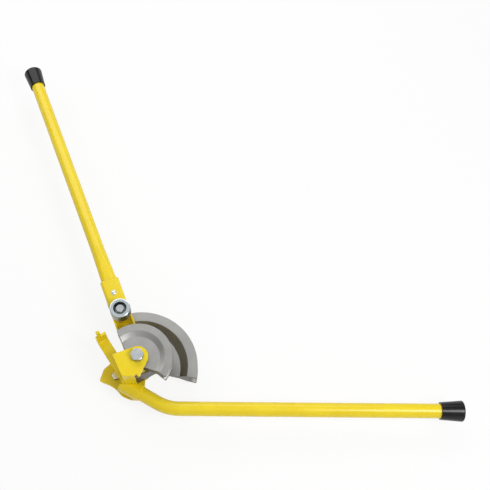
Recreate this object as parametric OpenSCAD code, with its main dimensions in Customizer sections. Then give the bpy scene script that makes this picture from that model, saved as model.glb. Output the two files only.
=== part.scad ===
// Two-handled pipe bender: half-round formers for two pipe sizes are bolted in the yoke of
// the fixed handle, and a lever with one pressure roller per former swings on their bolt.
// The pivot axis is Z, the fixed handle runs along +X, and Z = 0 is the tip of the pivot bolt.

/* [Handles] */
// Outside diameter of both handle tubes
tube_d = 25; // [20:0.5:28]
// Wall of both handle tubes
tube_wall = 2.5; // [1.5:0.25:4]
// Fixed handle: pivot axis to the end of the cap, along the straight run
fixed_reach = 550; // [350:5:800]
// Fixed handle: straight run below the pivot axis
fixed_drop = 74.2; // [66:0.2:110]
// Fixed handle: height of the tube axis over the tip of the pivot bolt
fixed_level = 44; // [40:0.5:60]
// Fixed handle: angle of the short run that climbs to the yoke
climb_angle = 30; // [20:1:40]
// Fixed handle: centre-line radius of the bend
handle_bend_r = 80; // [50:2:110]
// Lever: pivot axis to the end of the cap
lever_reach = 669; // [450:5:900]
// Lever: angle from the fixed handle in the drawn pose
lever_angle = 111.2; // [90:0.2:120]

/* [Handle caps] */
// Length of a cap
cap_len = 38; // [25:1:60]
// Outside radius at the mouth of a cap
cap_mouth_r = 15; // [14.5:0.25:20]
// Outside radius at the end of a cap
cap_end_r = 17.9; // [16:0.1:24]
// Rounding of the end edge of a cap
cap_edge = 2.5; // [1:0.25:5]
// Thickness of the end wall of a cap
cap_end_wall = 4; // [2:0.5:8]

/* [Formers] */
// Pipe that the small former bends
small_pipe_d = 15; // [12:0.5:16]
// Centre-line radius of the small bend
small_bend_r = 59.4; // [54:0.2:66]
// Pipe that the large former bends
large_pipe_d = 22; // [18:0.5:26]
// Centre-line radius of the large bend
large_bend_r = 100.8; // [92:0.2:112]
// Metal beside the groove of the small former
small_lip = 4.1; // [3.5:0.1:6]
// Metal beside the groove of the large former
large_lip = 4.5; // [3:0.1:7]
// Radial width of the small rim, out to the pipe axis
small_rim_w = 12.8; // [10.5:0.2:16]
// Radial width of the large rim, out to the pipe axis
large_rim_w = 17; // [14:0.2:22]
// Front recess of the small web
small_recess = 4.5; // [3:0.25:6]
// Front recess of the large web
large_recess = 14; // [8:0.5:16]
// Rear recess of both webs
rear_recess = 6; // [3:0.5:8]
// Radial run of the sloped wall beside the small web
small_slope = 9.4; // [6:0.2:12]
// Radial run of the sloped wall beside the large web
large_slope = 13; // [8:0.5:18]
// Angle where the small groove runs out
small_end_angle = -37; // [-45:1:-25]
// Angle where the large groove runs out
large_end_angle = -12.7; // [-25:0.1:-4]
// Angle where the large groove starts
large_start_angle = 118; // [100:1:121]
// Angle of the straight back of the small former
back_angle = 115.4; // [108:0.2:122]
// Distance of the straight back from the pivot axis
back_dist = 14.4; // [13:0.2:18]
// Radius of the hub of the small former
small_hub_r = 24; // [20:0.5:28]
// Radius of the hub of the large former
large_hub_r = 28; // [24:0.5:34]
// Distance of the flat under the large hub from the pivot axis
hub_flat = 17.5; // [12.5:0.25:20]
// Angle of the flat under the large hub
hub_flat_angle = 30; // [20:1:40]
// Distance of the edge under the small web from the pivot axis
small_under = 12.5; // [11:0.25:15]
// Angle of the edge under the small web
small_under_angle = -21; // [-28:1:-15]
// Web left inside the rim where the small groove runs out
small_web_in = 3; // [1:0.25:6]
// Straight back of the small former below the pivot axis
small_back_run = 6; // [4:0.25:10]

/* [Yoke] */
// Thickness of the front ear, the base and the rear plate
plate_t = 6; // [4:0.25:8]
// Radius of the ears round the pivot
ear_r = 18; // [16:0.5:20]
// Base of the yoke below the pivot axis
base_drop = 35; // [33:0.5:44]
// Left end of the base
base_left = -25; // [-28:0.5:-18]
// Right end of the base
base_right = -4.5; // [-8:0.5:0]
// Right toe of the front ear
ear_toe = 4.5; // [2:0.5:8]
// Radius of the relief in the front ear where the base ends
relief_r = 3; // [2:0.25:3.25]
// Right edge of the foot of the rear plate
foot_right = 7.5; // [4:0.5:10]
// Reach of the front ear to the left
ear_back = 43; // [36:0.5:50]
// Height of the front ear's left corner
ear_rise = 3; // [0:0.5:8]
// Left tip of the wing on the rear plate
wing_reach = 73.5; // [66:0.5:84]
// Drop of the wing tip
wing_drop = 18; // [12:0.5:24]
// Left reach of the wing's upper corner
wing_top_reach = 55.5; // [48:0.5:62]
// Height of the wing's upper corner
wing_top_rise = 14; // [8:0.5:18]
// Left reach of the wing's middle corner
wing_side_reach = 67.5; // [60:0.5:72]
// Height of the wing's middle corner
wing_side_rise = 2.7; // [0:0.1:6]
// Depth of the foot of the rear plate behind the tube socket
foot_drop = 53; // [44:0.5:58]
// Radius of the hollow under the wing
wing_hollow_r = 58; // [40:1:90]
// Depth of the hollow under the wing
wing_hollow = 3.5; // [1:0.25:6]
// Left end of the foot behind the tube socket
foot_left = -16; // [-20:0.5:-10]
// Left end of the heel, where the hollow under the wing ends
heel_left = -29; // [-34:0.5:-26]
// Depth of the heel
heel_drop = 48; // [44:0.5:52]
// Outside diameter of the tube socket
socket_d = 31; // [29:0.5:36]
// Length of the tube socket
socket_len = 38; // [28:1:48]
// Depth of the tube in its socket
socket_depth = 21; // [14:1:26]
// Mouth of the socket below the base
socket_fall = 12.5; // [8:0.5:16]
// Mouth of the socket past the right end of the base
socket_out = 7.5; // [4:0.5:12]

/* [Pipe hook] */
// Width of the hook arm
hook_w = 19.6; // [14:0.2:26]
// Thickness of the hook plate
hook_t = 5; // [3:0.25:8]
// Outside bend radius of the hook plate
hook_bend_r = 8; // [8:0.25:12]
// Angle of the hook arm
hook_angle = 123; // [121:0.5:128]
// Near side of the hook arm from the pivot axis
hook_dist = 23.4; // [23:0.2:30]
// Tail of the hook arm behind the pivot
hook_tail = 32; // [22:0.5:36]
// Height of the hook arm over the tip of the pivot bolt
hook_level = 67.5; // [62:0.5:70]
// Height of the lip over the arm
lip_h = 21.5; // [16:0.5:30]
// Width of the finger on the lip
finger_w = 6.4; // [4:0.2:8]
// Finger from the near side of the arm
finger_in = 10; // [4:0.2:11]
// Stand of the finger over the lip
finger_h = 20; // [8:0.5:20.5]

/* [Lever] */
// Width of the lever channel
lever_w = 34; // [31:0.5:38]
// Depth of the lever channel
lever_t = 26; // [23:0.5:30]
// Sheet of the lever channel
sheet = 3; // [2:0.25:4]
// Outside bend radius of the sheet
sheet_bend_r = 6; // [4.25:0.25:8]
// Length of the lever channel past the rear axle
channel_past = 27.5; // [22:0.5:50]
// End of the open part of the channel, past the front roller
open_past = 6; // [4:0.5:10]
// Radius of the pivot boss
boss_r = 14.5; // [13:0.5:16.5]
// Outside diameter of the pivot bush
bush_d = 20; // [16:0.5:22]
// Reach of the tube in the channel past the rear axle
tube_past = 14; // [9:0.5:18]
// Length of the flattened tube end outside the channel
flat_len = 12; // [5:1:30]
// Length over which the tube turns from flat to round
flat_blend = 60; // [40:1:90]

/* [Rollers] */
// Radius of the front roller
front_roller_r = 18; // [15:0.25:20]
// Length of the front roller
front_roller_len = 20; // [16:0.5:22]
// Front face of the front roller over the axis of the small pipe
front_roller_rise = 15.5; // [10:0.25:17]
// Radius of the dish in the front roller
dish_r = 11.7; // [10.5:0.1:13]
// Depth of the dish in the front roller
dish_depth = 8.5; // [7:0.25:10]
// Narrowing of the dish towards its floor
dish_draft = 2.5; // [0.5:0.25:3]
// Radius of the rear roller
rear_roller_r = 17; // [13:0.25:18]
// Length of the rear roller
rear_roller_len = 25; // [20:0.5:27]
// Diameter of the front axle
front_axle_d = 8; // [7:0.25:9]
// Diameter of the rear axle
rear_axle_d = 8; // [7:0.25:10]
// Diameter of the domed head of the rear axle
dome_d = 11; // [10.5:0.25:15]
// Height of the domed head of the rear axle
dome_h = 3; // [1.5:0.25:4.5]
// Edge rounding of the rollers
roller_edge = 1.5; // [0.5:0.25:3]
// Width of the axle nuts across their flats
axle_nut_flats = 13; // [12.5:0.5:15]
// Height of the rear axle nut
rear_nut_h = 6; // [4:0.25:8]
// Radius of the boss under the front roller
front_boss_r = 9; // [8:0.25:12]
// Radius of the collar over the rear roller
rear_collar_r = 8.5; // [7:0.25:11]
// Room for the loose guide between a roller and the pipe on its former
guide_room = 8; // [4:0.25:9]

/* [Fasteners] */
// Diameter of the pivot bolt
bolt_d = 12; // [10:0.5:14]
// Width of the pivot bolt head across its flats
bolt_flats = 20; // [17:0.5:22]
// Height of the pivot bolt head
bolt_head_h = 8; // [5:0.25:10]
// Height of the pivot nut
nut_h = 10; // [6:0.5:12]
// Stand of the bolt tip behind the nut
bolt_tip = 3; // [1:0.5:6]
// Outside diameter of the pivot washers
washer_d = 21; // [20:0.5:30]
// Thickness of the pivot washers
washer_t = 2.5; // [1.5:0.25:4]
// Diameter of the wing bolt
wing_bolt_d = 8; // [6:0.5:10]
// Width of the wing bolt head across its flats
wing_bolt_flats = 13; // [11:0.5:15]
// Height of the wing bolt head
wing_bolt_head_h = 5.5; // [4:0.25:8]
// Height of the wing bolt nut
wing_nut_h = 6.5; // [4:0.25:8]
// Wing bolt to the left of the pivot axis
wing_bolt_x = -44; // [-48:0.5:-40]
// Wing bolt below the pivot axis
wing_bolt_y = -10; // [-14:0.5:-4]
// Stand of the small bolts past their nuts
bolt_past = 1.5; // [0.5:0.25:3]
// Edge bevel of the hexagons
hex_bevel = 1; // [0.25:0.25:1.5]
// Diameter of the pins that key the formers to the yoke
key_d = 5; // [3:0.25:6]
// Length of the key pins
key_len = 9; // [6:0.5:10]
// Angle of the key pins
key_angle = 60; // [50:1:70]

/* [Fits] */
// Gap between seated faces
seat = 0.05; // [0.02:0.01:0.1]
// Radial clearance of turning and slip fits
slip = 0.05; // [0.02:0.01:0.1]
// Gap beside parts that swing or turn
run_gap = 0.75; // [0.4:0.05:1]
// Step from the straight runs of the fixed handle down to its bend
bend_step = 0.05; // [0.03:0.01:0.2]
// Gap between the lip and a pipe on the small former
lip_gap = 0.6; // [0.3:0.05:1.5]

/* [Hidden] */
$fn = 96;
over = 1;
lap = 0.5;
slice = 0.01;

// Heights of the stack on the pivot bolt, from its tip to its head
z_nut = bolt_tip;
z_rear_washer = z_nut + nut_h + seat;
z_rear_plate = z_rear_washer + washer_t + seat;
z_large = z_rear_plate + plate_t + seat;
large_t = large_pipe_d + 2 * large_lip;
z_lever = z_large + large_t + run_gap;
z_small = z_lever + lever_t + run_gap;
small_t = small_pipe_d + 2 * small_lip;
z_ear = z_small + small_t - small_recess + seat;
z_front_washer = z_ear + plate_t + seat;
z_head = z_front_washer + washer_t + seat;
bolt_r = bolt_d / 2;
bolt_hole_r = bolt_r + slip;

// Fixed handle: the climb passes through the mouth of the socket and meets the straight run
mouth_x = base_right + socket_out;
mouth_y = -base_drop - socket_fall;
climb_rise = mouth_y + fixed_drop;
corner_x = mouth_x + climb_rise / tan(climb_angle);
bend_cut = handle_bend_r * tan(climb_angle / 2);
climb_len = climb_rise / sin(climb_angle) - bend_cut + socket_depth;
run_start = corner_x + bend_cut;
climb_x = corner_x - bend_cut * cos(climb_angle);
climb_y = bend_cut * sin(climb_angle) - fixed_drop;

// Lever stations from the pivot axis
tube_r = tube_d / 2;
z_web_top = z_lever + sheet;
tube_level = z_lever + lever_t / 2;
front_axle_x = small_bend_r + small_pipe_d / 2 + guide_room + front_roller_r;
rear_axle_x = large_bend_r + large_pipe_d / 2 + guide_room + rear_roller_r;
open_end = front_axle_x + front_roller_r + open_past;
lever_room_w = lever_w - 2 * sheet;
lever_room_t = lever_t - 2 * sheet;
flange_top = z_lever + lever_t - sheet_bend_r;
channel_len = rear_axle_x + channel_past;
tube_start = rear_axle_x - tube_past;
flat_end = channel_len + flat_len;
round_start = flat_end + flat_blend;
bush_r = bush_d / 2;
front_axle_r = front_axle_d / 2;
rear_axle_r = rear_axle_d / 2;

// Rollers along the pivot axis
z_front_face = z_small + small_t / 2 + front_roller_rise;
z_front_roller = z_front_face - front_roller_len;
z_front_nut = z_front_face - dish_depth + run_gap;
front_nut_h = dish_depth - run_gap - bolt_past;
z_rear_roller = z_large + large_t / 2 - rear_roller_len / 2;
z_rear_nut = z_rear_roller - run_gap / 2 - rear_nut_h;

// Hook levels
hook_h = hook_t + lip_h;
hook_reach = small_bend_r + small_pipe_d / 2 + lip_gap + hook_t;

// Key pins, midway between the pivot bolt and the edge of the ears
key_at = polar((bolt_r + ear_r) / 2, key_angle);

// Point where a line from p touches a circle round the pivot
function touch(p, r, side) =
    let (a = atan2(p[1], p[0]) + side * acos(r / norm(p))) [r * cos(a), r * sin(a)];

function polar(r, a) = [r * cos(a), r * sin(a)];

// Turns +Z to a direction in the XY plane
module along(p, angle) translate(p) rotate([0, 90, angle]) children();

module on_lever() rotate([0, 0, lever_angle]) children();

module on_hook() rotate([0, 0, hook_angle]) children();

module bore(r, z, h) translate([0, 0, z]) cylinder(r = r, h = h);

// Hexagon with its corners bevelled at the far end
module hex_prism(flats, h) intersection() {
    corner_r = flats / 2 / cos(30);
    cylinder(r = corner_r, h = h, $fn = 6);
    bevel_z = h - hex_bevel;
    rotate_extrude() polygon([[0, -over], [corner_r + over, -over], [corner_r + over, bevel_z],
        [corner_r, bevel_z], [flats / 2, h], [0, h]]);
}

module round_box(w, h, r) {
    translate([-w / 2 + r, -h / 2]) square([w - 2 * r, h]);
    translate([-w / 2, -h / 2 + r]) square([w, h - 2 * r]);
    for (x = [-1, 1], y = [-1, 1]) translate([x * (w / 2 - r), y * (h / 2 - r)]) circle(r);
}

// Extrudes a section in (Y, Z) along +X from x to x + len at the middle of the lever
module lever_bar(x, len)
    translate([x, 0, tube_level]) rotate([90, 0, 90]) linear_extrude(len) children();

// Fixed handle
module handle_run(d, past) {
    along([run_start - lap, -fixed_drop, fixed_level], 0)
        cylinder(d = d, h = fixed_reach - cap_end_wall - seat - run_start + lap + past);
    translate([run_start, handle_bend_r - fixed_drop, fixed_level])
        rotate([0, 0, -90 - climb_angle]) rotate_extrude(angle = climb_angle)
            translate([handle_bend_r, 0]) circle(d = d - 2 * bend_step);
    along([climb_x, climb_y, fixed_level], 180 - climb_angle)
        translate([0, 0, -lap]) cylinder(d = d, h = climb_len + lap + past);
}

// Space of the yoke above the base, which tube and socket stay out of
module yoke_room() translate([-wing_reach, -base_drop - seat, 0])
    cube([wing_reach + run_start, 2 * base_drop, 2 * z_small]);

module lower_tube() color([0.93, 0.82, 0.12]) difference() {
    handle_run(tube_d, 0);
    handle_run(tube_d - 2 * tube_wall, over);
    yoke_room();
}

module tube_socket() color([0.93, 0.82, 0.12]) difference() {
    along([mouth_x, mouth_y, fixed_level], 180 - climb_angle) cylinder(d = socket_d, h = socket_len);
    along([mouth_x, mouth_y, fixed_level], 180 - climb_angle)
        translate([0, 0, -over]) cylinder(r = tube_r + slip, h = socket_depth + seat + over);
    yoke_room();
}

module cap() rotate_extrude() {
    polygon([[tube_r + slip, 0], [cap_mouth_r, 0], [cap_end_r, cap_len - cap_edge],
        [cap_end_r - cap_edge, cap_len], [0, cap_len], [0, cap_len - cap_end_wall],
        [tube_r + slip, cap_len - cap_end_wall]]);
    translate([cap_end_r - cap_edge, cap_len - cap_edge]) circle(cap_edge);
}

module lower_cap() color([0.08, 0.08, 0.08])
    along([fixed_reach - cap_len, -fixed_drop, fixed_level], 0) cap();

// Yoke
module yoke_base() color([0.93, 0.82, 0.12])
    translate([base_left, -base_drop, z_large])
        cube([base_right - base_left, plate_t, z_ear - seat - z_large]);

module front_ear() color([0.95, 0.85, 0.14]) difference() {
    tip = [-ear_back, ear_rise];
    toe = [ear_toe, -base_drop];
    translate([0, 0, z_ear]) linear_extrude(plate_t) {
        circle(ear_r);
        polygon([touch(tip, ear_r, -1), tip, [base_left, -base_drop], toe, touch(toe, ear_r, 1), [0, 0]]);
    }
    bore(bolt_hole_r, z_ear - over, plate_t + 2 * over);
    translate([base_right + relief_r, -base_drop]) bore(relief_r, z_ear - over, plate_t + 2 * over);
    translate(key_at) bore(key_d / 2 + slip, z_ear - over, key_len / 2 + over + seat);
}

module rear_plate() color([0.9, 0.76, 0.1]) difference() {
    shoulder = [-wing_top_reach, wing_top_rise];
    tip = [-wing_reach, -wing_drop];
    heel = [heel_left, -heel_drop];
    toe = [foot_right, -foot_drop];
    edge = (heel - tip) / norm(heel - tip);
    hollow = (tip + heel) / 2 + (wing_hollow_r - wing_hollow) * [edge[1], -edge[0]];
    translate([0, 0, z_rear_plate]) linear_extrude(plate_t) difference() {
        union() {
            circle(ear_r);
            polygon([touch(shoulder, ear_r, -1), shoulder, [-wing_side_reach, wing_side_rise], tip, heel,
                [foot_left, -foot_drop], toe, [foot_right, 0]]);
        }
        translate(hollow) circle(wing_hollow_r);
    }
    bore(bolt_hole_r, z_rear_plate - over, plate_t + 2 * over);
    translate([wing_bolt_x, wing_bolt_y])
        bore(wing_bolt_d / 2 + slip, z_rear_plate - over, plate_t + 2 * over);
    translate(key_at) bore(key_d / 2 + slip, z_rear_plate + plate_t - key_len / 2 - seat, key_len);
}

// Formers
// Half section of a former: rim with a half-round groove, sloped front wall and thin web
module former_section(pipe_d, bend_r, t, rim_w, slope, front, rear) difference() {
    polygon([[0, rear], [bend_r - rim_w - slope, rear], [bend_r - rim_w, 0], [bend_r, 0], [bend_r, t],
        [bend_r - rim_w, t], [bend_r - rim_w - slope, t - front], [0, t - front]]);
    translate([bend_r, t / 2]) circle(d = pipe_d);
}

module large_former() color([0.62, 0.62, 0.61]) difference() {
    translate([0, 0, z_large]) {
        rotate([0, 0, large_end_angle]) rotate_extrude(angle = large_start_angle - large_end_angle)
            former_section(large_pipe_d, large_bend_r, large_t, large_rim_w, large_slope,
                large_recess, rear_recess);
        difference() {
            cylinder(r = large_hub_r, h = large_t);
            rotate([0, 0, hub_flat_angle]) translate([-2 * large_hub_r, -2 * large_hub_r - hub_flat, -over])
                cube([4 * large_hub_r, 2 * large_hub_r, large_t + 2 * over]);
            rotate([0, 0, back_angle]) translate([-2 * large_hub_r, back_dist, -over])
                cube([4 * large_hub_r, 2 * large_hub_r, large_t + 2 * over]);
        }
    }
    bore(bolt_hole_r, z_large - over, large_t + 2 * over);
    translate(key_at) bore(key_d / 2 + slip, z_large - over, key_len / 2 + over + seat);
}

// Plan of the small former: the grooved arc, its straight back and the edge under its web
module small_plan() {
    far = 2 * small_bend_r;
    elbow = polar(small_bend_r - small_rim_w - small_web_in, small_end_angle);
    under = small_under * [sin(small_under_angle), -cos(small_under_angle)];
    heel = polar(back_dist, back_angle + 90) - polar(small_back_run, back_angle);
    polygon([polar(far, small_end_angle), elbow, under, heel, heel + polar(far, back_angle), [far, far]]);
}

module small_former() color([0.65, 0.65, 0.64]) difference() {
    translate([0, 0, z_small]) intersection() {
        union() {
            rotate_extrude() former_section(small_pipe_d, small_bend_r, small_t, small_rim_w,
                small_slope, small_recess, rear_recess);
            cylinder(r = small_hub_r, h = small_t - small_recess);
        }
        translate([0, 0, -over]) linear_extrude(small_t + 2 * over) small_plan();
    }
    bore(bolt_hole_r, z_small - over, small_t + 2 * over);
    translate(key_at) bore(key_d / 2 + slip, z_ear - seat - key_len / 2 - seat, key_len);
}

module former_keys() color([0.5, 0.5, 0.52]) {
    translate(key_at) bore(key_d / 2, z_ear - key_len / 2, key_len);
    translate(key_at) bore(key_d / 2, z_large - key_len / 2, key_len);
}

// Pivot
module pivot_bolt() color([0.75, 0.76, 0.78]) {
    translate([0, 0, z_head]) hex_prism(bolt_flats, bolt_head_h);
    cylinder(r = bolt_r, h = z_head);
}

module pivot_washers() color([0.7, 0.71, 0.73]) for (z = [z_rear_washer, z_front_washer])
    translate([0, 0, z]) difference() {
        cylinder(d = washer_d, h = washer_t);
        bore(bolt_hole_r, -over, washer_t + 2 * over);
    }

// Nut that hangs down from its seat, with its bevelled end away from it
module nut(flats, shank_r, h) rotate([180, 0, 0]) difference() {
    hex_prism(flats, h);
    bore(shank_r + slip, -over, h + 2 * over);
}

module pivot_nut() color([0.7, 0.71, 0.73])
    translate([0, 0, z_nut + nut_h]) nut(bolt_flats, bolt_r, nut_h);

module pivot_bush() color([0.6, 0.6, 0.62]) difference() {
    z = z_large + large_t + seat;
    h = z_small - seat - z;
    bore(bush_r, z, h);
    bore(bolt_hole_r, z - over, h + 2 * over);
}

// Pipe hook: a plate bent up into a lip, with a finger at the top of the lip
// Bent plate in (X, Z): one corner of a rounded frame
module hook_profile() intersection() {
    w = 2 * (hook_tail + hook_reach);
    h = 2 * (hook_h + finger_h);
    difference() {
        round_box(w, h, hook_bend_r);
        round_box(w - 2 * hook_t, h - 2 * hook_t, hook_bend_r - hook_t);
    }
    translate([0, -h]) square([w, h]);
}

module hook_arm() color([0.9, 0.76, 0.1]) difference() {
    on_hook() translate([-hook_tail, hook_dist + hook_w, hook_level + hook_h + finger_h])
        rotate([90, 0, 0]) linear_extrude(hook_w) hook_profile();
    on_hook() translate([0, hook_dist, hook_level + hook_h]) {
        translate([0, -over, 0]) cube([2 * hook_reach, finger_in + over, 2 * finger_h]);
        translate([0, finger_in + finger_w, 0]) cube([2 * hook_reach, hook_w, 2 * finger_h]);
    }
    translate([base_left - seat, -base_drop - 4 * hook_w, hook_level - over])
        cube([4 * hook_w, 4 * hook_w + plate_t + seat, hook_t + 2 * over]);
}

module wing_bolt() color([0.75, 0.76, 0.78]) translate([wing_bolt_x, wing_bolt_y, 0]) {
    z = z_rear_plate + plate_t + seat;
    tip = z_rear_plate - seat - wing_nut_h - bolt_past;
    translate([0, 0, z]) hex_prism(wing_bolt_flats, wing_bolt_head_h);
    bore(wing_bolt_d / 2, tip, z - tip);
}

module wing_nut() color([0.7, 0.71, 0.73])
    translate([wing_bolt_x, wing_bolt_y, z_rear_plate - seat])
        nut(wing_bolt_flats, wing_bolt_d / 2, wing_nut_h);

// Lever: a folded channel, open at the front by the pivot and closed round the tube
module lever_channel() color([0.93, 0.82, 0.12]) on_lever() difference() {
    union() {
        lever_bar(0, channel_len) difference() {
            round_box(lever_w, lever_t, sheet_bend_r);
            round_box(lever_room_w, lever_room_t, sheet_bend_r - sheet);
        }
        bore(boss_r, z_lever, sheet);
    }
    translate([-over, -lever_w, flange_top]) cube([open_end + over, 2 * lever_w, lever_t]);
    bore(boss_r + seat, z_web_top, lever_t);
    bore(bush_r + slip, z_lever - over, sheet + 2 * over);
    translate([front_axle_x, 0, 0]) bore(front_axle_r + slip, z_lever - over, sheet + 2 * over);
    translate([rear_axle_x, 0, 0]) bore(rear_axle_r + slip, z_lever - over, lever_t + 2 * over);
}

module pivot_boss() color([0.93, 0.82, 0.12]) difference() {
    bore(boss_r, z_web_top + seat, lever_t - sheet - seat);
    bore(bush_r + slip, z_web_top, lever_t);
}

// Flattened tube: two half rounds with a flat between
module flat_section(inset) {
    r = lever_room_t / 2 - slip - inset;
    reach = (lever_room_w - lever_room_t) / 2;
    for (side = [-1, 1]) translate([side * reach, 0]) circle(r);
    translate([-reach, -r]) square([2 * reach, 2 * r]);
}

// Tube with a flattened end that fits in the closed part of the channel
module lever_tube_solid(inset, past) {
    lever_bar(tube_start - past, flat_end - tube_start + past) flat_section(inset);
    hull() {
        lever_bar(flat_end, slice) flat_section(inset);
        lever_bar(round_start - slice, slice) circle(tube_r - inset);
    }
    lever_bar(round_start, lever_reach - cap_end_wall - seat - round_start + past) circle(tube_r - inset);
}

module upper_tube() color([0.93, 0.82, 0.12]) on_lever() difference() {
    lever_tube_solid(0, 0);
    lever_tube_solid(tube_wall, over);
    translate([rear_axle_x, 0, 0]) bore(rear_axle_r + slip, z_lever, lever_t);
}

module upper_cap() color([0.08, 0.08, 0.08]) on_lever()
    along([lever_reach - cap_len, 0, tube_level], 0) cap();

// Rollers
module roller_section(r, len) {
    translate([0, roller_edge]) square([r, len - 2 * roller_edge]);
    square([r - roller_edge, len]);
    for (z = [roller_edge, len - roller_edge]) translate([r - roller_edge, z]) circle(roller_edge);
}

module front_roller() color([0.8, 0.82, 0.84]) on_lever()
    translate([front_axle_x, 0, z_front_roller]) difference() {
        dish_z = front_roller_len - dish_depth;
        mouth_z = front_roller_len + over;
        rotate_extrude() roller_section(front_roller_r, front_roller_len);
        bore(front_axle_r + slip, -over, front_roller_len + 2 * over);
        rotate_extrude() polygon([[0, dish_z], [dish_r - dish_draft, dish_z], [dish_r, front_roller_len],
            [dish_r, mouth_z], [0, mouth_z]]);
    }

module front_axle() color([0.72, 0.73, 0.75]) on_lever() translate([front_axle_x, 0, 0])
    bore(front_axle_r, z_lever, z_front_nut + front_nut_h - z_lever);

module front_axle_boss() color([0.93, 0.82, 0.12]) on_lever()
    translate([front_axle_x, 0, z_web_top + seat]) difference() {
        h = z_front_roller - run_gap / 2 - z_web_top - seat;
        cylinder(r = front_boss_r, h = h);
        bore(front_axle_r + slip, -over, h + 2 * over);
    }

module front_axle_nut() color([0.8, 0.81, 0.83]) on_lever()
    translate([front_axle_x, 0, z_front_nut]) difference() {
        hex_prism(axle_nut_flats, front_nut_h);
        bore(front_axle_r + slip, -over, front_nut_h + 2 * over);
    }

module rear_roller() color([0.8, 0.82, 0.84]) on_lever()
    translate([rear_axle_x, 0, z_rear_roller]) difference() {
        rotate_extrude() roller_section(rear_roller_r, rear_roller_len);
        bore(rear_axle_r + slip, -over, rear_roller_len + 2 * over);
    }

// Rear axle: a bolt through the channel and the flattened tube, with a domed head
module rear_axle() color([0.8, 0.81, 0.83]) on_lever() translate([rear_axle_x, 0, 0]) {
    z_face = z_lever + lever_t + seat;
    tip = z_rear_nut - bolt_past;
    dome_r = (dome_d * dome_d / 4 + dome_h * dome_h) / (2 * dome_h);
    bore(rear_axle_r, tip, z_face - tip);
    intersection() {
        translate([0, 0, z_face + dome_h - dome_r]) sphere(dome_r);
        bore(dome_d, z_face, dome_h + over);
    }
}

module rear_axle_collar() color([0.7, 0.71, 0.73]) on_lever()
    translate([rear_axle_x, 0, z_rear_roller + rear_roller_len + run_gap / 2]) difference() {
        h = z_lever - seat - z_rear_roller - rear_roller_len - run_gap / 2;
        cylinder(r = rear_collar_r, h = h);
        bore(rear_axle_r + slip, -over, h + 2 * over);
    }

module rear_axle_nut() color([0.7, 0.71, 0.73]) on_lever()
    translate([rear_axle_x, 0, z_rear_nut + rear_nut_h]) nut(axle_nut_flats, rear_axle_r, rear_nut_h);

lower_tube();
lower_cap();
tube_socket();
yoke_base();
front_ear();
rear_plate();
large_former();
small_former();
former_keys();
pivot_bolt();
pivot_washers();
pivot_nut();
pivot_bush();
hook_arm();
wing_bolt();
wing_nut();
lever_channel();
pivot_boss();
upper_tube();
upper_cap();
front_axle();
front_axle_boss();
front_axle_nut();
front_roller();
rear_axle();
rear_axle_collar();
rear_axle_nut();
rear_roller();
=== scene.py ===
import bpy
import math
from mathutils import Matrix, Vector

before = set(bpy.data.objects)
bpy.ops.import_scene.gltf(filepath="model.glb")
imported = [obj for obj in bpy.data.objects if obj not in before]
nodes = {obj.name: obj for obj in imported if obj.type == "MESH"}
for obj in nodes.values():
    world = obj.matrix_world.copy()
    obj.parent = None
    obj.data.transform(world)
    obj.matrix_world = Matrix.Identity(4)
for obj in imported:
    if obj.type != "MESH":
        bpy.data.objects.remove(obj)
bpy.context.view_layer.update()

print("frame loaded, nodes:", len(nodes))

scene = bpy.context.scene
scene.view_settings.view_transform = "Standard"

# camera, fitted to the photograph
cameraSet = {
    "place": (0.11271, -0.40279, 1.29902),
    "right": (0.99940423, 0.01693195, -0.03007472),
    "up": (-0.00435613, 0.92630521, 0.37674883),
    "back": (0.03423747, -0.37639337, 0.92582711),
    "lens": 55.102,
    "sensor": 36,
    "shift": (0.1346, 0.1340),
    "farClip": 50,
}


def makeCamera(c):
    data = bpy.data.cameras.new("photoCamera")
    data.sensor_width = c["sensor"]
    data.lens = c["lens"]
    data.shift_x, data.shift_y = c["shift"]
    data.clip_end = c["farClip"]
    obj = bpy.data.objects.new("photoCamera", data)
    scene.collection.objects.link(obj)
    axes = Matrix((c["right"], c["up"], c["back"])).transposed()
    obj.matrix_world = Matrix.Translation(c["place"]) @ axes.to_4x4()
    scene.camera = obj


makeCamera(cameraSet)
print("camera set")

# studio: white floor and backdrop, dim sky and two soft boxes
studioSet = {
    "floorSize": 12,
    "floorDrop": 0.0004,
    "floorColour": (0.88, 0.88, 0.88, 1),
    "shadowShare": 0.15,
    "backdrop": (1, 1, 1, 1),
    "backdropTop": (0.25, 0.35),
    "skyAxis": (0.2, -0.35, 0.9),
    "skyReach": 0.9,
    "skyTop": 0.84,
    "skySide": 0.05,
}
lampSet = {
    "backBox": {"place": (-0.3, 1.25, 1.25), "size": (2.4, 0.9), "power": 15.5},
    "rightBox": {"place": (0.85, -0.38, 1.25), "size": (0.5, 0.5), "power": 8.7},
}
lampAim = (0.05, 0.0, 0.06)
full = (0.0, 1.0)


def put(tree, kind, **values):
    node = tree.nodes.new(kind)
    for key, value in values.items():
        setattr(node, key, value)
    return node


def remap(tree, value, span, to, interpolation="SMOOTHSTEP"):
    node = put(tree, "ShaderNodeMapRange", interpolation_type=interpolation)
    node.inputs["From Min"].default_value, node.inputs["From Max"].default_value = span
    node.inputs["To Min"].default_value, node.inputs["To Max"].default_value = to
    tree.links.new(value, node.inputs["Value"])
    return node.outputs[0]


def calc(tree, how, a, b):
    node = put(tree, "ShaderNodeMath", operation=how)
    for socket, value in zip(node.inputs, (a, b)):
        if isinstance(value, (int, float)):
            socket.default_value = value
        else:
            tree.links.new(value, socket)
    return node.outputs[0]


def mixShaders(tree, mask, a, b, out):
    mix = put(tree, "ShaderNodeMixShader")
    for source, socket in zip((mask, a.outputs[0], b.outputs[0]), mix.inputs):
        tree.links.new(source, socket)
    tree.links.new(mix.outputs[0], out.inputs[0])


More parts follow.
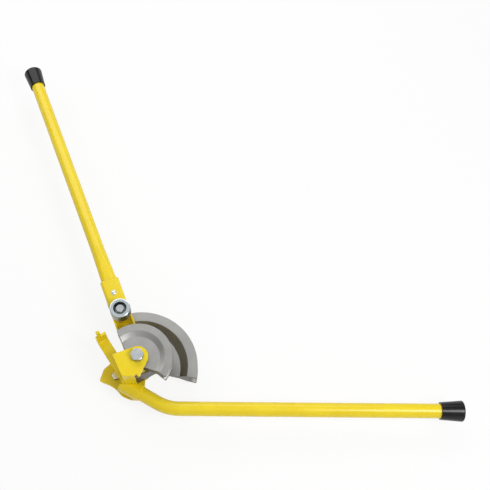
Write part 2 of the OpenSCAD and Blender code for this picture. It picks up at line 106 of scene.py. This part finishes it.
def watchRays(tree):
    rays = put(tree, "ShaderNodeLightPath").outputs
    shiny = calc(tree, "MAXIMUM", rays["Is Glossy Ray"], rays["Is Transmission Ray"])
    return rays["Is Camera Ray"], shiny


# a sky that brightens along its axis, and low down a white backdrop that lights nothing
def makeWorld(s):
    world = bpy.data.worlds.new("studioWorld")
    scene.world = world
    world.use_nodes = True
    tree = world.node_tree
    tree.nodes.clear()
    coord = put(tree, "ShaderNodeTexCoord")
    along = put(tree, "ShaderNodeVectorMath", operation="DOT_PRODUCT")
    along.inputs[1].default_value = s["skyAxis"]
    tree.links.new(coord.outputs["Generated"], along.inputs[0])
    level = remap(tree, along.outputs["Value"], (0.0, s["skyReach"]),
                  (s["skySide"], s["skyTop"]), "LINEAR")
    sky = put(tree, "ShaderNodeBackground")
    tree.links.new(level, sky.inputs["Strength"])
    white = put(tree, "ShaderNodeBackground")
    white.inputs["Color"].default_value = s["backdrop"]
    split = put(tree, "ShaderNodeSeparateXYZ")
    tree.links.new(coord.outputs["Generated"], split.inputs[0])
    low = remap(tree, split.outputs["Z"], s["backdropTop"], full[::-1], "LINEAR")
    shown = calc(tree, "MAXIMUM", *watchRays(tree))
    out = put(tree, "ShaderNodeOutputWorld")
    mixShaders(tree, calc(tree, "MULTIPLY", shown, low), sky, white, out)


# the floor looks white, with a faint shadow for the camera alone
def makeFloor(s):
    half = s["floorSize"] / 2
    mesh = bpy.data.meshes.new("studioFloor")
    corners = ((-half, -half), (half, -half), (half, half), (-half, half))
    mesh.from_pydata([(x, y, -s["floorDrop"]) for x, y in corners], [], [(0, 1, 2, 3)])
    floor = bpy.data.objects.new("studioFloor", mesh)
    scene.collection.objects.link(floor)
    mat = bpy.data.materials.new("studioFloor")
    mat.use_nodes = True
    tree = mat.node_tree
    tree.nodes.clear()
    diffuse = put(tree, "ShaderNodeBsdfDiffuse")
    diffuse.inputs["Color"].default_value = s["floorColour"]
    glow = put(tree, "ShaderNodeEmission")
    camera, shiny = watchRays(tree)
    seen = calc(tree, "MULTIPLY", camera, 1 - s["shadowShare"])
    out = put(tree, "ShaderNodeOutputMaterial")
    mixShaders(tree, calc(tree, "MAXIMUM", seen, shiny), diffuse, glow, out)
    mesh.materials.append(mat)


def makeLamp(name, lamp):
    data = bpy.data.lights.new(name, "AREA")
    data.shape = "RECTANGLE"
    data.size, data.size_y = lamp["size"]
    data.energy = lamp["power"]
    obj = bpy.data.objects.new(name, data)
    scene.collection.objects.link(obj)
    aim = Vector(lampAim) - Vector(lamp["place"])
    turn = aim.to_track_quat("-Z", "Y").to_matrix().to_4x4()
    obj.matrix_world = Matrix.Translation(lamp["place"]) @ turn


makeWorld(studioSet)
makeFloor(studioSet)
for lampName, lamp in lampSet.items():
    makeLamp(lampName, lamp)
print("studio set, lamps:", len(lampSet))

# shared effects
noiseSpan = (0.3, 0.7)
noiseDetail = {"slow": 4, "fine": 2}


def newGroup(name, ins, outs):
    tree = bpy.data.node_groups.new(name, "ShaderNodeTree")
    for label, kind, value in ins:
        sock = tree.interface.new_socket(label, in_out="INPUT", socket_type=kind)
        sock.default_value = value
    for label in outs:
        tree.interface.new_socket(label, in_out="OUTPUT", socket_type="NodeSocketFloat")
    return tree, put(tree, "NodeGroupInput"), put(tree, "NodeGroupOutput")


def addNoise(tree, detail, place, scale, **values):
    noise = put(tree, "ShaderNodeTexNoise", **values)
    noise.inputs["Detail"].default_value = detail
    tree.links.new(place, noise.inputs["W" if values else "Vector"])
    tree.links.new(scale, noise.inputs["Scale"])
    return noise.outputs["Fac"]


# slow drift and fine grain
def makeMottle():
    scales = [("Coarse", "NodeSocketFloat", 30.0), ("Fine", "NodeSocketFloat", 900.0)]
    tree, gin, gout = newGroup("surfaceMottle", scales, ["Drift", "Grain"])
    place = put(tree, "ShaderNodeTexCoord").outputs["Object"]
    slow = addNoise(tree, noiseDetail["slow"], place, gin.outputs["Coarse"])
    fine = addNoise(tree, noiseDetail["fine"], place, gin.outputs["Fine"])
    tree.links.new(slow, gout.inputs["Drift"])
    tree.links.new(fine, gout.inputs["Grain"])
    return tree


# radius from an axis along Z, and fine turned rings round it
def makeTurned():
    ins = [("Centre", "NodeSocketVector", (0, 0, 0)), ("Pitch", "NodeSocketFloat", 2500.0)]
    tree, gin, gout = newGroup("turnedRings", ins, ["Radius", "Rings"])
    coord = put(tree, "ShaderNodeTexCoord")
    shift = put(tree, "ShaderNodeVectorMath", operation="SUBTRACT")
    tree.links.new(coord.outputs["Object"], shift.inputs[0])
    tree.links.new(gin.outputs["Centre"], shift.inputs[1])
    flat = put(tree, "ShaderNodeVectorMath", operation="MULTIPLY")
    flat.inputs[1].default_value = (1, 1, 0)
    tree.links.new(shift.outputs[0], flat.inputs[0])
    length = put(tree, "ShaderNodeVectorMath", operation="LENGTH")
    tree.links.new(flat.outputs[0], length.inputs[0])
    radius = length.outputs["Value"]
    rings = addNoise(tree, noiseDetail["fine"], radius, gin.outputs["Pitch"],
                     noise_dimensions="1D")
    tree.links.new(radius, gout.inputs["Radius"])
    tree.links.new(rings, gout.inputs["Rings"])
    return tree


# how far a face turns to the front or rear of the tool
def makeFlatness():
    tree, _, gout = newGroup("flatness", [], ["Level"])
    coord = put(tree, "ShaderNodeTexCoord")
    split = put(tree, "ShaderNodeSeparateXYZ")
    tree.links.new(coord.outputs["Normal"], split.inputs[0])
    level = calc(tree, "ABSOLUTE", split.outputs["Z"], 0.0)
    tree.links.new(level, gout.inputs["Level"])
    return tree


mottle = makeMottle()
turned = makeTurned()
flatness = makeFlatness()


def useGroup(tree, group, **values):
    node = put(tree, "ShaderNodeGroup", node_tree=group)
    for key, value in values.items():
        node.inputs[key].default_value = value
    return node.outputs


def blendColour(tree, mask, a, b):
    node = put(tree, "ShaderNodeMix", data_type="RGBA")
    tree.links.new(mask, node.inputs["Factor"])
    colourIns = [socket for socket in node.inputs if socket.type == "RGBA"]
    for socket, colour in zip(colourIns, (a, b)):
        if isinstance(colour, tuple):
            socket.default_value = colour + (1,)
        else:
            tree.links.new(colour, socket)
    return next(socket for socket in node.outputs if socket.type == "RGBA")


def blendValue(tree, a, b, share):
    return calc(tree, "ADD", calc(tree, "MULTIPLY", a, 1 - share),
                calc(tree, "MULTIPLY", b, share))


def newMaterial(name, metallic):
    mat = bpy.data.materials.new(name)
    mat.use_nodes = True
    shader = mat.node_tree.nodes["Principled BSDF"]
    shader.inputs["Metallic"].default_value = metallic
    return mat, mat.node_tree, shader


def finishLook(tree, shader, colour, rough, height, bump):
    tree.links.new(colour, shader.inputs["Base Color"])
    tree.links.new(rough, shader.inputs["Roughness"])
    node = put(tree, "ShaderNodeBump")
    node.inputs["Distance"].default_value, node.inputs["Strength"].default_value = bump
    tree.links.new(height, node.inputs["Height"])
    tree.links.new(node.outputs[0], shader.inputs["Normal"])


# gloss yellow enamel and black rubber
enamelSet = {
    "bright": (0.87, 0.67, 0.009), "deep": (0.84, 0.63, 0.006), "drift": (0.35, 0.65),
    "rough": (0.22, 0.32), "shine": 0.5, "coarse": 22.0, "fine": 150.0, "bump": (0.0001, 0.05),
}
rubberSet = {
    "bright": (0.008, 0.008, 0.008), "deep": (0.005, 0.005, 0.005), "drift": (0.35, 0.65),
    "rough": (0.17, 0.24), "shine": 0.3, "coarse": 60.0, "fine": 300.0, "bump": (0.0001, 0.03),
}


def coated(name, p):
    mat, tree, shader = newMaterial(name, 0)
    shader.inputs["Specular IOR Level"].default_value = p["shine"]
    m = useGroup(tree, mottle, Coarse=p["coarse"], Fine=p["fine"])
    mask = remap(tree, m["Drift"], p["drift"], full)
    colour = blendColour(tree, mask, p["deep"], p["bright"])
    rough = remap(tree, m["Drift"], noiseSpan, p["rough"])
    finishLook(tree, shader, colour, rough, m["Grain"], p["bump"])
    return mat


# former metal: machined flats; slopes take the cast colour and painted shade, darkest on the
# steep sides
formerSet = {
    "bright": (0.41, 0.407, 0.395), "deep": (0.36, 0.357, 0.346),
    # painted shade: the side colour is far darker than the metal itself
    "cast": (0.38, 0.37, 0.345), "side": (0.15, 0.143, 0.13),
    "flat": (0.8, 0.985), "steep": (0.25, 0.85), "rough": (0.4, 0.52),
    "coarse": 35.0, "fine": 1300.0, "pitch": 1800.0, "ringShare": 0.4, "bump": (0.0002, 0.15),
}


def formerMetal(name, p):
    mat, tree, shader = newMaterial(name, 1)
    m = useGroup(tree, mottle, Coarse=p["coarse"], Fine=p["fine"])
    t = useGroup(tree, turned, Pitch=p["pitch"])
    f = useGroup(tree, flatness)
    both = blendValue(tree, m["Drift"], t["Rings"], p["ringShare"])
    machined = blendColour(tree, remap(tree, both, noiseSpan, full), p["deep"], p["bright"])
    # painted shade: the steeper a face turns, the darker its colour
    shadedWalls = blendColour(tree, remap(tree, f["Level"], p["steep"], full), p["side"], p["cast"])
    colour = blendColour(tree, remap(tree, f["Level"], p["flat"], full), shadedWalls, machined)
    rough = remap(tree, both, noiseSpan, p["rough"])
    finishLook(tree, shader, colour, rough, m["Grain"], p["bump"])
    return mat


# bright zinc on bolts and nuts, with painted shade down their sides
zincSet = {
    "bright": (0.82, 0.88, 0.91), "deep": (0.72, 0.78, 0.81), "side": (0.4, 0.4, 0.38),
    "flat": (0.15, 0.55), "rough": (0.18, 0.28),
    "coarse": 120.0, "fine": 2000.0, "pitch": 3500.0, "ringShare": 0.5, "bump": (0.00003, 0.15),
}
# each variant below also sets the painted shade of its sides
domeSet = dict(zincSet, bright=(0.79, 0.82, 0.75), deep=(0.73, 0.77, 0.7),
               side=(0.52, 0.55, 0.5), rough=(0.42, 0.52))
nutSet = dict(zincSet, bright=(0.94, 0.97, 1.0), deep=(0.88, 0.91, 0.94),
              side=(0.8, 0.83, 0.85), rough=(0.08, 0.14))
axleSet = dict(zincSet, bright=(0.78, 0.81, 0.86), deep=(0.68, 0.71, 0.76))
wingSet = dict(zincSet, bright=(0.96, 0.97, 0.96), deep=(0.9, 0.91, 0.9),
               side=(0.13, 0.11, 0.09))


def zincSteel(name, p, centre=(0, 0, 0)):
    mat, tree, shader = newMaterial(name, 1)
    m = useGroup(tree, mottle, Coarse=p["coarse"], Fine=p["fine"])
    t = useGroup(tree, turned, Centre=centre, Pitch=p["pitch"])
    f = useGroup(tree, flatness)
    both = blendValue(tree, m["Drift"], t["Rings"], p["ringShare"])
    top = blendColour(tree, remap(tree, both, noiseSpan, full), p["deep"], p["bright"])
    # painted shade: faces that turn away from the front or rear take the darker side colour
    colour = blendColour(tree, remap(tree, f["Level"], p["flat"], full), p["side"], top)
    rough = remap(tree, both, noiseSpan, p["rough"])
    finishLook(tree, shader, colour, rough, t["Rings"], p["bump"])
    return mat


# ground and polished rollers: bright face, with painted shade and reflection darkening the dish
# and the running surface
rollerSet = {
    # painted shade: the dish and running-surface colours are dark stand-ins for shade and
    # reflection
    "dish": (0.22, 0.245, 0.255), "face": (0.84, 0.95, 1.0), "run": (0.3, 0.3, 0.26),
    "dishRadius": 0.0116, "dishEdge": 0.0004, "flat": (0.6, 0.97), "stain": (0.0, 0.12),
    "rough": (0.14, 0.42), "roughSpan": (0.2, 0.8), "runShare": 0.5,
    "coarse": 140.0, "fine": 2000.0, "pitch": 3500.0, "bump": (0.00003, 0.15),
}
rearRollerSet = dict(rollerSet, dishRadius=0.0004)


def rollerSteel(name, p, centre):
    mat, tree, shader = newMaterial(name, 1)
    m = useGroup(tree, mottle, Coarse=p["coarse"], Fine=p["fine"])
    t = useGroup(tree, turned, Centre=centre, Pitch=p["pitch"])
    f = useGroup(tree, flatness)
    dishSpan = (p["dishRadius"] - p["dishEdge"], p["dishRadius"])
    # painted shade: inside the dish radius the face takes the dark dish colour
    onFace = remap(tree, t["Radius"], dishSpan, full)
    # painted shade and reflection: the running surface takes a dark colour
    onRun = remap(tree, f["Level"], p["flat"], full[::-1])
    outside = blendColour(tree, onRun, p["face"], p["run"])
    clean = blendColour(tree, onFace, p["dish"], outside)
    stain = remap(tree, m["Drift"], noiseSpan, p["stain"])
    colour = blendColour(tree, stain, clean, p["run"])
    both = blendValue(tree, t["Rings"], onRun, p["runShare"])
    rough = remap(tree, both, p["roughSpan"], p["rough"])
    finishLook(tree, shader, colour, rough, t["Rings"], p["bump"])
    return mat


# axles on the lever, in metres from the pivot
leverSet = {"angle": math.radians(111.2), "frontAxle": 0.0929, "rearAxle": 0.1368}


def onLever(reach):
    return (reach * math.cos(leverSet["angle"]), reach * math.sin(leverSet["angle"]), 0)


frontAxle = onLever(leverSet["frontAxle"])
rearAxle = onLever(leverSet["rearAxle"])
enamel = coated("yellowEnamel", enamelSet)
rubber = coated("capRubber", rubberSet)
formers = formerMetal("formerMetal", formerSet)
pivotZinc = zincSteel("pivotZinc", zincSet)
wingZinc = zincSteel("wingZinc", wingSet)
frontZinc = zincSteel("frontAxleZinc", nutSet, frontAxle)
frontSteel = zincSteel("frontAxleSteel", axleSet, frontAxle)
rearZinc = zincSteel("rearAxleZinc", domeSet, rearAxle)
frontPolish = rollerSteel("frontRollerPolish", rollerSet, frontAxle)
rearPolish = rollerSteel("rearRollerPolish", rearRollerSet, rearAxle)
print("materials made")

finishOf = {
    "lower_tube": enamel, "tube_socket": enamel, "yoke_base": enamel, "front_ear": enamel,
    "rear_plate": enamel, "hook_arm": enamel, "lever_channel": enamel, "pivot_boss": enamel,
    "upper_tube": enamel, "front_axle_boss": enamel,
    "lower_cap": rubber, "upper_cap": rubber,
    "large_former": formers, "small_former": formers,
    "former_keys": pivotZinc, "pivot_bolt": pivotZinc, "pivot_washers": pivotZinc,
    "pivot_nut": pivotZinc, "pivot_bush": pivotZinc,
    "wing_bolt": wingZinc, "wing_nut": pivotZinc,
    "front_axle": frontSteel, "front_axle_nut": frontZinc, "front_roller": frontPolish,
    "rear_axle": rearZinc, "rear_axle_collar": rearZinc, "rear_axle_nut": rearZinc,
    "rear_roller": rearPolish,
}
for name, obj in nodes.items():
    for slot in obj.material_slots:
        slot.material = finishOf[name]
print("materials set")

# small roundings on the edges of plates, folded sheet and castings
edgeSet = {
    "plates": {"width": 0.0007, "angle": math.radians(32),
               "nodes": ("front_ear", "rear_plate", "yoke_base", "hook_arm")},
    "sheet": {"width": 0.0004, "angle": math.radians(32),
              "nodes": ("lever_channel", "pivot_boss", "front_axle_boss", "tube_socket")},
    "castings": {"width": 0.0008, "angle": math.radians(20),
                 "nodes": ("large_former", "small_former")},
}
sharpSpots = {
    "small_former": {"spot": (0.0474, -0.0358, 0.0993), "reach": 0.004},
    "lever_channel": {"spot": (0, 0, 0.06), "reach": 0.034},
}
noSpot = {"spot": (0, 0, -1), "reach": 0}
edgeFit = {
    "weld": 2e-6, "flat": math.radians(0.3), "crease": math.radians(50), "segments": 3,
}


def newGeometryTree(name):
    tree = bpy.data.node_groups.new(name, "GeometryNodeTree")
    for way in ("INPUT", "OUTPUT"):
        tree.interface.new_socket("Geometry", in_out=way, socket_type="NodeSocketGeometry")
    return tree, put(tree, "NodeGroupInput"), put(tree, "NodeGroupOutput")


# smooth faces, with a crease where they meet at a steep angle
def makeSmoothing():
    tree, gin, gout = newGeometryTree("smoothByAngle")
    faces = put(tree, "GeometryNodeSetShadeSmooth", domain="FACE")
    edges = put(tree, "GeometryNodeSetShadeSmooth", domain="EDGE")
    edges.inputs["Shade Smooth"].default_value = False
    angle = put(tree, "GeometryNodeInputMeshEdgeAngle")
    steep = put(tree, "FunctionNodeCompare", data_type="FLOAT", operation="GREATER_THAN")
    steep.inputs[1].default_value = edgeFit["crease"]
    tree.links.new(gin.outputs[0], faces.inputs["Geometry"])
    tree.links.new(faces.outputs[0], edges.inputs["Geometry"])
    tree.links.new(angle.outputs["Unsigned Angle"], steep.inputs[0])
    tree.links.new(steep.outputs[0], edges.inputs["Selection"])
    tree.links.new(edges.outputs[0], gout.inputs[0])
    return tree


smoothing = makeSmoothing()


# picks the edges to round: steep enough, and clear of a spot where they run out to a point
def makeEdgeChoice(name, angleLimit, sharp):
    tree, gin, gout = newGeometryTree(name + "Edges")
    angle = put(tree, "GeometryNodeInputMeshEdgeAngle")
    place = put(tree, "GeometryNodeInputPosition")
    away = put(tree, "ShaderNodeVectorMath", operation="DISTANCE")
    away.inputs[1].default_value = sharp["spot"]
    tree.links.new(place.outputs[0], away.inputs[0])
    steep = calc(tree, "GREATER_THAN", angle.outputs["Unsigned Angle"], angleLimit)
    clear = calc(tree, "GREATER_THAN", away.outputs["Value"], sharp["reach"])
    store = put(tree, "GeometryNodeStoreNamedAttribute", data_type="FLOAT", domain="EDGE")
    store.inputs["Name"].default_value = "bevel_weight_edge"
    tree.links.new(gin.outputs[0], store.inputs["Geometry"])
    tree.links.new(calc(tree, "MULTIPLY", steep, clear), store.inputs["Value"])
    tree.links.new(store.outputs[0], gout.inputs[0])
    return tree


def weldEdges(obj):
    obj.modifiers.new("edgeWeld", "WELD").merge_threshold = edgeFit["weld"]
    flat = obj.modifiers.new("edgeFlat", "DECIMATE")
    flat.decimate_type = "DISSOLVE"
    flat.angle_limit = edgeFit["flat"]


def roundEdges(obj, edge, sharp):
    choice = makeEdgeChoice(obj.name, edge["angle"], sharp)
    obj.modifiers.new("edgeChoice", "NODES").node_group = choice
    bevel = obj.modifiers.new("edgeRound", "BEVEL")
    bevel.limit_method = "WEIGHT"
    bevel.width = edge["width"]
    bevel.segments = edgeFit["segments"]
    bevel.miter_outer = "MITER_ARC"
    bevel.use_clamp_overlap = False


def smoothFaces(obj):
    obj.modifiers.new("edgeSmooth", "NODES").node_group = smoothing
    obj.modifiers.new("edgeNormals", "WEIGHTED_NORMAL").keep_sharp = True


for edge in edgeSet.values():
    for name in edge["nodes"]:
        weldEdges(nodes[name])
        roundEdges(nodes[name], edge, sharpSpots.get(name, noSpot))
        smoothFaces(nodes[name])
weldEdges(nodes["upper_tube"])
smoothFaces(nodes["upper_tube"])
print("edges rounded")
